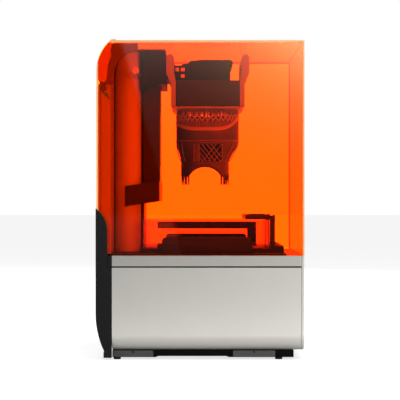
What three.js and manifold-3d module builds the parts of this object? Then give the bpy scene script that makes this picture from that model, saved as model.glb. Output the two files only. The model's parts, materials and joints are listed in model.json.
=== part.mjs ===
// A desktop resin printer: an aluminium base that holds the light engine and electronics, a resin
// tank on its deck, a Z tower that lifts the build platform, and a tinted cover hinged at the rear.
// Millimetres, +Z up, the front faces -Y. The origin is on the ground under the middle of the box.
import * as THREE from "three";
import { mergeVertices } from "three/addons/utils/BufferGeometryUtils.js";
import Module from "manifold-3d";

const wasm = await Module();
wasm.setup();

// ---- Driving dimensions
const HALF_WIDTH = 199;
const FRONT = -180;
const REAR = 180;
const GAP = 0.3; // between pieces that touch
const TOP = 551.4; // top face of the cover
const COVER_WALL = 3.2;
const DECK = 179.8; // top of the base's rims
const DECK_FLOOR = 183; // top of the black deck tray
const BASE_BOTTOM = 15.8; // lower edge of the side panels
const GROOVE = [159.2, 161.8]; // shadow gap between the side panels and the rims
const SKIRT = 3.8; // underside of the base's skids
const CURL = 28; // radius of the side panels' turned-in lower edge

const HINGE = { y: 111.5, z: 500 }; // axis of the cover, along X
const CORNER = 67; // radius of the cover's rear corner about the hinge
const RIM_REAR = 152.2; // where the silver side ends and the black rear begins
const HUMP = { y: 209, z: 222, r: 48.8, front: 160.2 }; // rounded top of the rear cheeks

const PLATFORM = { y: -14, halfX: 101, bottom: 441 };
const TOWER = { halfX: 45, front: 73, back: 105 };
const SPINE = { halfX: 94, front: 107.5, back: 154.3, round: 23 };
const SHOULDER = [43.4, 45.6]; // radii of the cowl over the spine and hinge shaft, about the hinge
const SKID_X = 188.5; // outer face of the skids
const SCREW = { x: 22, y: 91, r: 4 };
const TANK = { halfX: 125, front: -124, back: 101, bottom: 191, top: 240, wall: 3 };
const LATCH = { y: -129.5, z: 190, x: 104, halfX: 6 };
const FAN = { x: 0, z: 95, r: 38 };
const CURVE_STEPS = 10;

// ---- Solids
function solid(geometry) {
  const bare = geometry.clone();
  bare.deleteAttribute("normal");
  bare.deleteAttribute("uv");
  const merged = mergeVertices(bare, 1e-4);
  return new wasm.Manifold(
    new wasm.Mesh({
      numProp: 3,
      vertProperties: merged.attributes.position.array,
      triVerts: new Uint32Array(merged.index.array),
    }),
  );
}

function box(x, y, z) {
  const made = new THREE.BoxGeometry(x[1] - x[0], y[1] - y[0], z[1] - z[0]);
  made.translate((x[0] + x[1]) / 2, (y[0] + y[1]) / 2, (z[0] + z[1]) / 2);
  return solid(made);
}

// A box given by its half width about X = 0.
const slab = (half, y, z) => box([-half, half], y, z);

function extrude(shape, depth, steps = CURVE_STEPS) {
  return new THREE.ExtrudeGeometry(shape, {
    depth,
    bevelEnabled: false,
    curveSegments: steps,
  });
}

// A profile drawn in (Y, Z), swept along X.
function alongX(shape, [from, to], steps) {
  const turn = new THREE.Matrix4().makeBasis(
    new THREE.Vector3(0, 1, 0),
    new THREE.Vector3(0, 0, 1),
    new THREE.Vector3(1, 0, 0),
  );
  return solid(extrude(shape, to - from, steps).applyMatrix4(turn).translate(from, 0, 0));
}

// A profile drawn in (X, Z), swept along Y.
function alongY(shape, [from, to], steps) {
  const turned = extrude(shape, to - from, steps).rotateX(Math.PI / 2);
  return solid(turned.translate(0, to, 0));
}

// A profile drawn in (X, Y), swept along Z.
function alongZ(shape, [from, to], steps) {
  return solid(extrude(shape, to - from, steps).translate(0, 0, from));
}

function outline(points) {
  return new THREE.Shape(points.map(([a, b]) => new THREE.Vector2(a, b)));
}

function roundedRect([a0, a1], [b0, b1], r) {
  const made = new THREE.Shape();
  made.absarc(a1 - r, b1 - r, r, 0, Math.PI / 2);
  made.absarc(a0 + r, b1 - r, r, Math.PI / 2, Math.PI);
  made.absarc(a0 + r, b0 + r, r, Math.PI, 1.5 * Math.PI);
  made.absarc(a1 - r, b0 + r, r, 1.5 * Math.PI, 2 * Math.PI);
  return made;
}

// A round bar along "x", "y" or "z"; centre holds the two other coordinates in X, Y, Z order.
function rod(axis, r, [from, to], centre, sides = 24) {
  const made = new THREE.CylinderGeometry(r, r, to - from, sides);
  const middle = (from + to) / 2;
  if (axis === "x") made.rotateZ(Math.PI / 2).translate(middle, ...centre);
  if (axis === "y") made.translate(centre[0], middle, centre[1]);
  if (axis === "z") made.rotateX(Math.PI / 2).translate(...centre, middle);
  return solid(made);
}

// A ring sector about the hinge, drawn in (Y, Z); angles in degrees above the horizontal, rearward.
function hingeSector(inner, outer, from, to) {
  const [a, b] = [from, to].map(THREE.MathUtils.degToRad);
  const made = new THREE.Shape();
  made.absarc(HINGE.y, HINGE.z, outer, a, b, false);
  made.absarc(HINGE.y, HINGE.z, inner, b, a, true);
  return made;
}

const mirrored = (piece) => piece.mirror([1, 0, 0]);

// ---- Materials
const paint = (color, roughness, metalness = 0, opacity = 1) =>
  new THREE.MeshStandardMaterial({
    color,
    roughness,
    metalness,
    opacity,
    transparent: opacity < 1,
  });
const LOOKS = {
  silver: paint(0xc9c7bd, 0.38, 0.6),
  black: paint(0x26262a, 0.55),
  anodised: paint(0x1c1b1e, 0.45, 0.5),
  spine: paint(0xd8d6d2, 0.4, 0.3),
  acrylic: paint(0xff6200, 0.05, 0, 0.45),
  hingeOrange: paint(0xff3a10, 0.25),
  tank: paint(0xff5a10, 0.08, 0, 0.5),
  steel: paint(0xb8b8b8, 0.3, 1),
  handle: paint(0xcfcac6, 0.35, 0.8),
  platform: paint(0x4a4a4d, 0.5, 0.4),
  rubber: paint(0x101010, 0.9),
  resin: paint(0x77716e, 0.55),
  glass: paint(0x08090b, 0.08),
  board: paint(0x1e5a3a, 0.6),
  film: paint(0xf0f0f0, 0.1, 0, 0.3),
};

const printer = new THREE.Group();

function add(name, look, piece) {
  const made = piece.getMesh();
  const geometry = new THREE.BufferGeometry();
  geometry.setAttribute(
    "position",
    new THREE.BufferAttribute(new Float32Array(made.vertProperties), made.numProp),
  );
  geometry.setIndex(new THREE.BufferAttribute(made.triVerts, 1));
  geometry.computeVertexNormals();
  const mesh = new THREE.Mesh(geometry, LOOKS[look]);
  mesh.name = name;
  printer.add(mesh);
}

// Adds a piece made for the -X side, and its mirror image.
function addPair(stem, look, piece) {
  add(`${stem}_left`, look, piece);
  add(`${stem}_right`, look, mirrored(piece));
}

// ---- Base casing
function sidePanel() {
  const t = 2.5;
  const x = -HALF_WIDTH;
  const made = new THREE.Shape();
  made.moveTo(x, GROOVE[0]);
  made.lineTo(x, BASE_BOTTOM + CURL);
  made.absarc(x + CURL, BASE_BOTTOM + CURL, CURL, Math.PI, 1.5 * Math.PI, false);
  made.absarc(x + CURL, BASE_BOTTOM + CURL, CURL - t, 1.5 * Math.PI, Math.PI, true);
  made.lineTo(x + t, GROOVE[0]);
  return alongY(made, [FRONT + 5.4, RIM_REAR]);
}

function frontPanel() {
  const made = new THREE.Shape();
  made.moveTo(-HALF_WIDTH, DECK);
  made.lineTo(-HALF_WIDTH, BASE_BOTTOM + CURL);
  made.absarc(-HALF_WIDTH + CURL, BASE_BOTTOM + CURL, CURL, Math.PI, 1.5 * Math.PI, false);
  made.absarc(HALF_WIDTH - CURL, BASE_BOTTOM + CURL, CURL, 1.5 * Math.PI, 2 * Math.PI, false);
  made.lineTo(HALF_WIDTH, DECK);
  const flange = slab(186.5, [FRONT + 1, -150], [DECK - 3, DECK]);
  const window_ = box([62, 178], [FRONT - 1, FRONT + 6], [62, 140]);
  return alongY(made, [FRONT, FRONT + 5]).add(flange).subtract(window_);
}

function touchscreen() {
  const glass = roundedRect([62 + GAP, 178 - GAP], [62 + GAP, 140 - GAP], 4);
  return alongY(glass, [FRONT + 0.6, FRONT + 9]);
}

function rearProfile(inset) {
  const made = new THREE.Shape();
  const low = BASE_BOTTOM;
  const bend = 150;
  const sweep = Math.asin((80 - low) / bend);
  made.moveTo(REAR - inset, 80);
  made.absarc(REAR - bend, 80, bend - inset, 0, -sweep, true);
  return { made, foot: REAR - bend + (bend - inset) * Math.cos(sweep), low };
}

function rearCheek() {
  const { made, foot, low } = rearProfile(0);
  made.lineTo(foot + 0.8, low - 3);
  made.lineTo(foot + 0.8, SKIRT);
  made.lineTo(RIM_REAR + GAP, SKIRT);
  made.lineTo(RIM_REAR + GAP, DECK);
  made.lineTo(HUMP.front, DECK);
  made.lineTo(HUMP.front, HUMP.z);
  const end = Math.PI - Math.acos((HUMP.y - REAR) / HUMP.r);
  made.absarc(HUMP.y, HUMP.z, HUMP.r, Math.PI, end, true);
  const x = [-HALF_WIDTH, -187];
  const seam = [-HALF_WIDTH - 1, -HALF_WIDTH + 1.2];
  const upright = box(seam, [HUMP.front - 1.6, HUMP.front], [GROOVE[0], DECK + 1]);
  const level = box(seam, [RIM_REAR, HUMP.front], GROOVE);
  return alongX(made, x, 12).subtract(upright).subtract(level);
}

function rearCover() {
  const { made, foot, low } = rearProfile(0);
  const inner = rearProfile(3);
  made.lineTo(foot + 0.8, SKIRT + 4);
  made.lineTo(foot - 3, SKIRT + 4);
  made.lineTo(inner.foot, low);
  const sweep = Math.asin((80 - low) / 150);
  made.absarc(REAR - 150, 80, 147, -sweep, 0, false);
  made.lineTo(REAR - 3, 258);
  made.lineTo(REAR, 258);
  let plate = alongX(made, [-186.7, 186.7], 12);
  const grille = 9;
  const rows = 4;
  for (let i = -rows; i <= rows; i += 1) {
    const half = Math.sqrt(FAN.r ** 2 - (i * grille) ** 2) - 2;
    for (const [a, b] of [[-half, -2.5], [2.5, half]]) {
      const z = FAN.z + i * grille;
      if (b - a > 6) plate = plate.subtract(box([a, b], [160, 190], [z - 2.4, z + 2.4]));
    }
  }
  for (const x of [-150, -130, -110, -90]) {
    plate = plate.subtract(box([x, x + 6], [160, 190], [130, 220]));
  }
  return plate
    .subtract(box([117.7, 146.3], [160, 190], [99.7, 122.3]))
    .subtract(box([90.5, 107.5], [160, 190], [99, 123]));
}

function basePlate() {
  const top = BASE_BOTTOM - GAP;
  const mid = 5.7;
  const made = outline([
    [151.8, SKIRT], [151.8, top], [-162.3, top], [-162.3, SKIRT], [-50, SKIRT],
    [-45, mid], [72, mid], [77, SKIRT],
  ].reverse());
  return alongX(made, [-SKID_X + 2.8, SKID_X - 2.8]);
}

function skid(y) {
  const plate = box([-SKID_X, -SKID_X + 2.5], y, [SKIRT + 0.6, BASE_BOTTOM - GAP]);
  const screw = rod("x", 1.6, [-SKID_X - 1, -180], [(y[0] + y[1]) / 2, BASE_BOTTOM - GAP - 2.6], 12);
  return plate.subtract(screw);
}

function addBase() {
  addPair("side_panel", "silver", sidePanel());
  add("front_panel", "silver", frontPanel());
  add("touchscreen", "glass", touchscreen());
  const along = [FRONT + 5.4, RIM_REAR];
  const rim = box([-HALF_WIDTH, -187], along, [GROOVE[1], DECK]);
  const tongue = box([-HALF_WIDTH + 2.8, -187], along, [150, DECK]);
  addPair("deck_rim", "silver", rim.add(tongue));
  addPair("rear_cheek", "black", rearCheek());
  add("rear_cover", "black", rearCover());
  add("base_plate", "black", basePlate());
  addPair("skid_rear", "steel", skid([81, 151]));
  addPair("skid_front", "steel", skid([-130, -57]));
  for (const [where, y] of [["rear", 143.7], ["front", -136.6]]) {
    addPair(`foot_${where}`, "rubber", rod("z", 6.3, [0, SKIRT - GAP], [-179, y], 20));
  }
}

// ---- Deck and optics
function deckTray() {
  const window_ = slab(PLATFORM.halfX, [-77, 49], [170, 200]);
  const slot = box([-LATCH.x - 10.5, -LATCH.x + 10.5], [-140, TANK.front - 0.3], [184.5, 200]);
  return slab(186.7, [-149.7, 172], [176, DECK_FLOOR])
    .add(slab(140, [-148, 104], [DECK_FLOOR - 1, 190]))
    .add(slab(140, [-148, TANK.front - 1.2], [DECK_FLOOR - 1, 195]))
    .subtract(window_)
    .subtract(slot)
    .subtract(mirrored(slot));
}

function lightBox() {
  const taper = new THREE.CylinderGeometry(1, 0.5, 120, 4).rotateY(Math.PI / 4);
  taper.rotateX(Math.PI / 2).scale(96 * Math.SQRT2, 60 * Math.SQRT2, 1);
  taper.translate(0, PLATFORM.y, 124);
  return slab(108, [-84, 56], [72, 175.6]).subtract(solid(taper));
}

function ledHeatsink() {
  let made = slab(60, [-74, 46], [60, 71.5]);
  for (let i = -6; i <= 6; i += 1) {
    made = made.add(box([i * 9 - 1.5, i * 9 + 1.5], [-74, 46], [30, 61]));
  }
  return made;
}

function mainBoard() {
  const chips = [
    [[-60, -30], [70, 100]], [[0, 22], [85, 107]], [[40, 70], [45, 60]],
    [[-95, -80], [45, 90]], [[-20, 20], [40, 52]],
  ];
  const board = box([150, 152], [-110, 90], [BASE_BOTTOM, 140]);
  return chips.reduce((all, [y, z]) => all.add(box([144, 150.5], y, z)), board);
}

function fanFrame() {
  const y = [154.2, 174.2];
  const ring = alongY(roundedRect([-42, 42], [FAN.z - 42, FAN.z + 42], 5), y);
  const hub = rod("y", 15, [170.2, 174.2], [FAN.x, FAN.z]);
  const spoke = slab(2, [171, 174.2], [FAN.z - 40, FAN.z + 40]);
  const bar = slab(40, [171, 174.2], [FAN.z - 2, FAN.z + 2]);
  return ring.subtract(rod("y", FAN.r, [140, 180], [FAN.x, FAN.z], 40)).add(hub).add(spoke).add(bar);
}

function fanRotor() {
  let made = rod("y", 14, [156, 169], [FAN.x, FAN.z]);
  const blades = 7;
  for (let i = 0; i < blades; i += 1) {
    const blade = new THREE.BoxGeometry(24, 2, 13).translate(24, 0, 0).rotateX(0.65);
    blade.rotateY((i * 2 * Math.PI) / blades).translate(FAN.x, 162.5, FAN.z);
    made = made.add(solid(blade));
  }
  return made;
}

function powerInlet() {
  const shell = box([118, 146], [157, REAR - 0.3], [100, 122]);
  const well = box([121, 143], [166, REAR + 1], [103, 119]);
  let made = shell.subtract(well);
  for (const [x, z] of [[125, 109], [132, 113], [139, 109]]) {
    made = made.add(box([x - 1, x + 1], [165, 176], [z - 2.5, z + 2.5]));
  }
  return made;
}

function powerSwitch() {
  const paddle = new THREE.BoxGeometry(14, 6, 20).rotateX(-0.1);
  return solid(paddle.translate(99, 175.5, 111)).add(rod("x", 2, [92, 106], [173, 111], 12));
}

function addEngine() {
  add("deck_tray", "black", deckTray());
  add("mask_display", "glass", slab(100.7, [-76.7, 48.7], [185, 189.7]));
  add("light_box", "black", lightBox());
  add("led_heatsink", "steel", ledHeatsink());
  add("main_board", "board", mainBoard());
  add("power_supply", "steel", box([-166, -111], [-60, 110], [BASE_BOTTOM, 62]));
  add("fan_frame", "black", fanFrame());
  add("fan_rotor", "black", fanRotor());
  add("power_inlet", "black", powerInlet());
  add("power_switch", "black", powerSwitch());
}

// ---- Rear structure: wall, spine and the cover's hinge shaft
function rearPanel() {
  const flat = [173, 176];
  const lower = slab(186.5, flat, [DECK_FLOOR + GAP, 260]);
  const middle = slab(194.5, flat, [259, 430]);
  const upper = slab(187, flat, [429, 479]);
  const well = alongX(hingeSector(67.6, 70.2, -57, -22), [-187, 187], 12);
  const back = slab(187, [SPINE.back + 0.6, SPINE.back + 2.8], [DECK_FLOOR + GAP, HINGE.z]);
  const shoulder = alongX(hingeSector(...SHOULDER, 0, 89), [-187, 187], 14);
  const lid = slab(94, [62, HINGE.y + 2], [545.3, 547.5]);
  const end = box([-187, -185], [SPINE.back + 0.6, flat[1]], [DECK_FLOOR + GAP, HINGE.z]);
  const trimmed = well.subtract(slab(200, [100, SPINE.back + 0.6], [400, 500]));
  const inFront = slab(200, [HINGE.y + SHOULDER[1], 200], [441, 500]);
  const core = rod("x", 62.6, [-200, 200], [HINGE.y, HINGE.z], 72).intersect(slab(200, [100, 200], [400, 486]));
  const pocket = rod("x", 67.6, [-200, 200], [HINGE.y, HINGE.z], 72).intersect(inFront).subtract(core);
  const wing = box([-194.5, -187.4], flat, [429, 473]);
  return lower
    .add(middle)
    .add(upper)
    .add(trimmed)
    .add(back)
    .add(shoulder)
    .add(lid)
    .add(end)
    .add(mirrored(end))
    .subtract(pocket)
    .add(wing)
    .add(mirrored(wing));
}

function spineShape(grow) {
  const { halfX, front, back, round } = SPINE;
  return roundedRect([-halfX - grow, halfX + grow], [front - grow, back + grow], round + grow);
}

function rearSpine() {
  const { front, back } = SPINE;
  const column = alongZ(spineShape(0), [DECK_FLOOR + GAP, HINGE.z]);
  const reach = back - HINGE.y;
  const crown = alongZ(spineShape(0), [HINGE.z - 1, HINGE.z + reach]);
  const dome = rod("x", reach, [-99, 99], [HINGE.y, HINGE.z], 64);
  const keep = slab(99, [front, HINGE.y], [HINGE.z - 2, HINGE.z + reach]);
  const lug = rod("x", 6 + GAP, [-99, 99], [HINGE.y, HINGE.z], 32);
  const rounded = crown.intersect(dome.add(keep));
  const low = column.intersect(slab(99, [front, back], [100, HINGE.z + 1]));
  const hollow = alongZ(spineShape(-3), [DECK, HINGE.z - 12]);
  return low.add(rounded).subtract(lug).subtract(hollow);
}

function hingeShaft() {
  const reach = HALF_WIDTH - COVER_WALL - GAP;
  const pin = rod("x", 4, [-reach, reach], [HINGE.y, HINGE.z]);
  return rod("x", 6, [-187, 187], [HINGE.y, HINGE.z]).add(pin);
}

function cartridgeBay() {
  const outer = alongZ(roundedRect([98.5, 184], [108, 154], 6), [DECK_FLOOR + GAP, 290]);
  const well = alongZ(roundedRect([101.5, 181], [111, 151], 4), [187, 300]);
  return outer.subtract(well);
}

function cartridge() {
  const [x, y] = [[102.1, 180.4], [111.6, 150.4]];
  const body = alongZ(roundedRect(x, y, 4), [187.5, 348]);
  const grip = box([121, 161], [110, 119], [322, 338]);
  const cap = rod("z", 14, [340, 352], [141, 133]);
  return body.subtract(grip).add(cap);
}

function addRear() {
  add("rear_panel", "spine", rearPanel());
  add("rear_spine", "spine", rearSpine());
  add("hinge_shaft", "steel", hingeShaft());
  add("cartridge_bay", "black", cartridgeBay());
  add("cartridge", "black", cartridge());
}

// ---- Z tower and its drive
function zTower() {
  const { halfX, front, back } = TOWER;
  const bottom = 302;
  const slotFrom = 340;
  const under = outline([[60, 290], [120, 290], [120, 304.1], [60, 312.1]]);
  const tube = slab(halfX, [front, back], [bottom, 545]).subtract(alongX(under, [-60, 60]));
  const hollow = slab(halfX - 3, [front + 3, back - 3], [bottom - 12, 541]);
  const slot = slab(14, [front - 1, front + 4], [slotFrom, 541]);
  return tube.subtract(hollow).subtract(slot);
}

function towerBracket() {
  const rise = 9.6; // the bracket climbs by this from back to front
  const rear = 134.6;
  const block = outline([
    [72.7, 264.4 + rise], [rear, 264.4], [rear, 301], [72.7, 301 + rise - 0.6],
  ]);
  const sleeve = slab(58, [101.7, 113], [190, 270]);
  const motorWell = box([6, 38], [75.2, 109], [277, 320]);
  const column = alongZ(spineShape(GAP), [180, 330]);
  const foot = slab(48, [101.7, 107], [DECK_FLOOR + GAP + 7, 200]);
  return alongX(block, [-97.5, 97.5]).add(sleeve).add(foot).subtract(motorWell).subtract(column);
}

function linearRail() {
  return box([-22, -10], [96.4, TOWER.back - 3 - GAP], [315, 538]);
}

function railBlock() {
  const body = box([-29, -3], [86.5, 101], [495, 530]);
  return body.subtract(box([-22.4, -9.6], [96, 102], [490, 540]));
}

function leadScrew() {
  return rod("z", SCREW.r, [300.4, 538], [SCREW.x, SCREW.y], 16);
}

function screwNut() {
  const nut = rod("z", 9.5, [500, 518], [SCREW.x, SCREW.y]);
  return nut.subtract(rod("z", SCREW.r + 0.4, [490, 530], [SCREW.x, SCREW.y], 16));
}

function addTower() {
  add("z_tower", "anodised", zTower());
  add("tower_bracket", "anodised", towerBracket());
  add("linear_rail", "steel", linearRail());
  add("z_motor", "black", box([6.5, 37.5], [75.5, 106.5], [277.5, 300]));
  add("lead_screw", "steel", leadScrew());
  add("rail_block", "steel", railBlock());
  add("screw_nut", "steel", screwNut());
}

// ---- Carriage, build platform and print
function carriageArm() {
  const { halfX, front } = TOWER;
  const side = new THREE.Shape();
  side.moveTo(62, 484.5);
  side.lineTo(84, 484.5);
  side.quadraticCurveTo(96, 482, 103, 471);
  side.lineTo(103, 544);
  side.absarc(70, 536, 8, Math.PI / 2, Math.PI, false);
  const collar = alongX(side, [-92, 92]);
  const bore = slab(halfX + 0.6, [front - 0.6, 110], [460, 560]);
  const web = slab(11, [70, 78], [494, 532]);
  const plate = box([-30, 33], [77, 80.5], [494, 532]);
  const spacer = box([-28, -4], [80, 86.2], [497, 528]);
  const arm = alongY(roundedRect([-58, 58], [495.5, 521.5], 3), [33.4, 66]);
  return collar.subtract(bore).add(web).add(plate).add(spacer).add(arm);
}

function platformCap() {
  const made = outline([
    [33, 491.4], [33, 523], [22, 524], [18, 529], [0, 531], [-56, 531], [-60, 527.5],
    [-59.5, 521], [-55.5, 516], [-55, 491.4],
  ].reverse());
  return alongX(made, [-60, 60]);
}

function platformBody() {
  const outer = slab(97, [-71, 42], [PLATFORM.bottom + 3, 491]);
  let made = outer;
  const wall = 3;
  const [cols, rows] = [4, 3];
  const cellX = (194 - wall) / cols;
  const cellY = (113 - wall) / rows;
  for (let i = 0; i < cols; i += 1) {
    for (let j = 0; j < rows; j += 1) {
      const x = -97 + wall + i * cellX;
      const y = -71 + wall + j * cellY;
      made = made.subtract(box([x, x + cellX - wall], [y, y + cellY - wall], [400, 486]));
    }
  }
  return made;
}

// The squeeze lever on the platform's front edge; the rear one is its mirror image.
function handle() {
  const made = new THREE.Shape();
  made.moveTo(-71.5, 444);
  made.lineTo(-71.5, 488);
  made.lineTo(-74.6, 505);
  made.lineTo(-74.6, 531);
  made.absarc(-81.6, 531, 7, 0, Math.PI, false);
  made.lineTo(-88.6, 503);
  made.lineTo(-80.2, 485);
  made.lineTo(-80.2, 444);
  const gap = slab(70, [-100, -60], [491, 524]);
  return alongX(made, [-98, 98], 8).subtract(gap);
}

function printedPart() {
  const made = new THREE.Shape();
  made.moveTo(-72.5, PLATFORM.bottom - GAP);
  made.lineTo(-72.5, 372);
  made.lineTo(-64, 352);
  made.lineTo(-55, 338);
  made.lineTo(-50, 304);
  made.lineTo(-45, 304);
  made.lineTo(-43.5, 318);
  made.absarc(-9, 304.5, 35, 2.75, 0.39, true);
  made.lineTo(27, 304);
  made.lineTo(32, 304);
  made.lineTo(35, 338);
  made.lineTo(41, 355);
  made.lineTo(44.5, 372);
  made.lineTo(44.5, PLATFORM.bottom - GAP);
  const ring = (a, b) => {
    const e = new THREE.Shape();
    e.absellipse(0, PLATFORM.y, a, b, 0, 2 * Math.PI);
    return e;
  };
  const cowl = alongX(made, [-60, 60], 16);
  const hollow = alongZ(ring(43, 51.5), [290, 425], 24);
  return cowl.intersect(alongZ(ring(50, 58.4), [290, 450], 24)).subtract(hollow);
}

function addPlatform() {
  add("carriage_arm", "anodised", carriageArm());
  add("platform_cap", "black", platformCap());
  add("platform_body", "platform", platformBody());
  const plate = roundedRect([-PLATFORM.halfX, PLATFORM.halfX], [-77, 49], 5);
  add("build_plate", "steel", alongZ(plate, [PLATFORM.bottom, PLATFORM.bottom + 2.4], 4));
  add("handle_front", "handle", handle());
  add("handle_rear", "handle", handle().mirror([0, 1, 0]).translate([0, 2 * PLATFORM.y, 0]));
  add("printed_part", "resin", printedPart());
}

// ---- Resin tank, its rails, mixer and latch
function tankTub() {
  const { halfX, front, back, bottom, top, wall } = TANK;
  const outer = alongZ(roundedRect([-halfX, halfX], [front, back], 8), [bottom, top], 4);
  const inner = roundedRect([wall - halfX, halfX - wall], [front + wall, back - wall], 5);
  return outer
    .subtract(alongZ(inner, [bottom + 3, top + 1], 4))
    .subtract(slab(104, [-80, 52], [bottom - 1, bottom + 4]));
}

function tankRail() {
  const x = [-156, -141];
  const floor = DECK_FLOOR + GAP;
  const bar = new THREE.Shape();
  bar.moveTo(-92, floor);
  bar.lineTo(67, floor);
  bar.absarc(60.5, 204, 6.5, 0, Math.PI / 2, false);
  bar.absarc(-84, 203, 7.5, Math.PI / 2, Math.PI * 0.8, false);
  bar.lineTo(-92, 200);
  return alongX(bar, x, 6)
    .add(rod("x", 5.2, [-156, -144], [70, 194.2], 20))
    .add(box([-154, -146], [60, 70], [190, 199]))
    .add(rod("x", 3.6, [-156, -144], [-95.6, 198.6], 16))
    .add(box([-154, -146], [-95.6, -88], [195.4, 201.8]));
}

function mixer() {
  const x = [-116, -104];
  return box(x, [-100, 76], [225, 237.5])
    .add(box(x, [-100, -84], [196, 226]))
    .add(box([-113, -107], [-100, 76], [194.6, 199]));
}

function tankLatch() {
  const { x, halfX, y, z } = LATCH;
  const hook = outline([
    [y - 4.5, z], [y + 4.5, z], [y + 4.5, 241.3], [-81, 241.3], [-81, 249.5],
    [y + 5, 249.5], [y + 2, 248], [y - 3, 250], [y - 4.5, 249],
  ]);
  const prong = alongX(hook, [-x - halfX, -x + halfX]);
  const pivot = rod("x", 4.5, [-x - 9.5, -x + 9.5], [y, z], 16);
  const grip = slab(x, [-90, -81], [241.3, 249.5]);
  return prong.add(pivot).add(mirrored(prong)).add(mirrored(pivot)).add(grip);
}

function addTank() {
  add("tank_tub", "tank", tankTub());
  add("tank_film", "film", slab(106, [-82, 54], [190.3, 190.7]));
  addPair("tank_rail", "black", tankRail());
  add("mixer", "black", mixer());
  add("tank_latch", "anodised", tankLatch());
}

// ---- Hinged cover
function coverSide() {
  const base = DECK + 0.5;
  const swing = HINGE.z - base; // bottom edge behind the hinge follows this radius
  const notch = HUMP.r + 0.8;
  const rear = HINGE.y + CORNER;
  const lip = 0.915; // angle of the lip at the top of the rear corner, in radians
  const low = HUMP.front - 0.8;
  const made = new THREE.Shape();
  made.moveTo(FRONT, base);
  made.lineTo(HINGE.y, base);
  const turn = Math.asin((low - HINGE.y) / swing);
  made.absarc(HINGE.y, HINGE.z, swing, -Math.PI / 2, turn - Math.PI / 2, false);
  made.lineTo(low, HUMP.z);
  const end = Math.PI - Math.acos((HUMP.y - rear) / notch);
  made.absarc(HUMP.y, HUMP.z, notch, Math.PI, end, true);
  made.absarc(HINGE.y, HINGE.z, CORNER, 0, lip, false);
  made.lineTo(147, TOP + 2.2);
  made.lineTo(145, TOP);
  made.lineTo(FRONT, TOP);
  return alongX(made, [-HALF_WIDTH, -HALF_WIDTH + COVER_WALL], 14);
}

// The bracket inside the cover's rear corner, narrowing to a round foot.
function hingeArm(x) {
  const r = 66.4;
  const made = new THREE.Shape();
  made.moveTo(153.2, 524);
  made.lineTo(158.8, 510);
  made.lineTo(160.8, 487);
  made.absarc(168.3, 487, 7.5, Math.PI, 1.5 * Math.PI, false);
  made.absarc(HINGE.y, HINGE.z, r, -0.28, 0.87, false);
  return alongX(made, x, 10);
}

function addCover() {
  const half = HALF_WIDTH - COVER_WALL - GAP;
  addPair("cover_side", "acrylic", coverSide());
  add("cover_front", "acrylic", slab(half, [FRONT, FRONT + COVER_WALL], [DECK + 0.5, TOP]));
  const top = slab(half, [FRONT + COVER_WALL + GAP, 150], [TOP - COVER_WALL, TOP]);
  add("cover_top", "acrylic", top.add(slab(half, [145, 151], [TOP - 1, TOP + 2])));
  add("cover_cap", "acrylic", alongX(hingeSector(63.5, 66.7, 22, 50), [-184.6, 184.6], 8));
  addPair("hinge_arm", "hingeOrange", hingeArm([-half, -188]));
}

addBase();
addEngine();
addRear();
addTower();
addPlatform();
addTank();
addCover();

export default printer;
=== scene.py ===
"""Looks of a desktop resin printer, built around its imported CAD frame. Metres, +Z up, front at -Y."""
import json
import math
import random

import bmesh
import bpy
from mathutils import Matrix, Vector


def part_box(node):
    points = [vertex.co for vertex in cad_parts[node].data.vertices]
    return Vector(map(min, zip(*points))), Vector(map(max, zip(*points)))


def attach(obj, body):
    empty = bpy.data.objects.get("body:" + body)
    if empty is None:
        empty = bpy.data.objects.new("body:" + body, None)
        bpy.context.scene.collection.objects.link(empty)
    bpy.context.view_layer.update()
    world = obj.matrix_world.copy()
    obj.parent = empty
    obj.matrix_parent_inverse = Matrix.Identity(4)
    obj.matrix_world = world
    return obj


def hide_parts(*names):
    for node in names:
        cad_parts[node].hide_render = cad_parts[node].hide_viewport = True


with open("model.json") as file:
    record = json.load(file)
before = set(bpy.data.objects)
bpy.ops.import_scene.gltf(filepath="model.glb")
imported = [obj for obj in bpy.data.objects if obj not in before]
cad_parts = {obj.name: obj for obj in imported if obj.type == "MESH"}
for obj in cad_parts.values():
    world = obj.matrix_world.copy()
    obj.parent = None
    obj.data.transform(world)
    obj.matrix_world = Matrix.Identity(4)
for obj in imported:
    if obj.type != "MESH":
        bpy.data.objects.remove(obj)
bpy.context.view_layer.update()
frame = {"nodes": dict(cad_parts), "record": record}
MM = 0.001
random.seed(7)
NODES = frame["nodes"]
RECORD = frame["record"]
SLOT_OF = {part["node"]: part["material_slot"] for part in RECORD["subparts"]}
BODY_OF = {}
for body_name, members in RECORD["behaviour"]["bodies"].items():
    for member in members:
        BODY_OF[member] = body_name


# ---- Camera, stage and light
DISTANCE = 2.5  # camera to the near side of the base
EYE_HEIGHT = 0.276
FOCAL = 130.6  # in lens millimetres, like the sensor's width
SENSOR_WIDTH = 36.0
FARTHEST_SEEN = 50.0
# Brightness of the backdrop and floor for each kind of ray, as (in the open, past tinted panels).
# Past the panels they are made brighter, because two tinted panels dim them more than the
# photographed cover does. This belongs to the stage, and the object's own materials know nothing of it.
SKY = {"camera": (1.0, 5.6), "glossy": (0.0, 3.0), "diffuse": (0.27, 0.9)}
FLOOR = {"camera": (0.75, 5.6), "glossy": (0.0, 3.0), "diffuse": (0.0, 0.4)}
PAST_ONE_FACE = 0.5  # in clear faces that a camera ray has passed
PAST_A_PANEL = 2.5  # in clear faces that any other ray has passed
FLOOR_REACH = 24.0
FLOOR_GREY = (0.6, 0.6, 0.6, 1)
SOFTBOX_X = -3.5
SOFTBOX_CORNERS = [(0.36, 1.08), (0.015, -0.15), (-0.75, -0.15), (-0.75, 1.08)]  # (Y, Z)
SOFTBOX_STRENGTH = (0.08, 15.0)  # in its dim lower corner, in its bright upper corner
SOFTBOX_COLOURS = ((0.9, 1.0, 1.0), (1.0, 0.92, 0.55))
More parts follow.
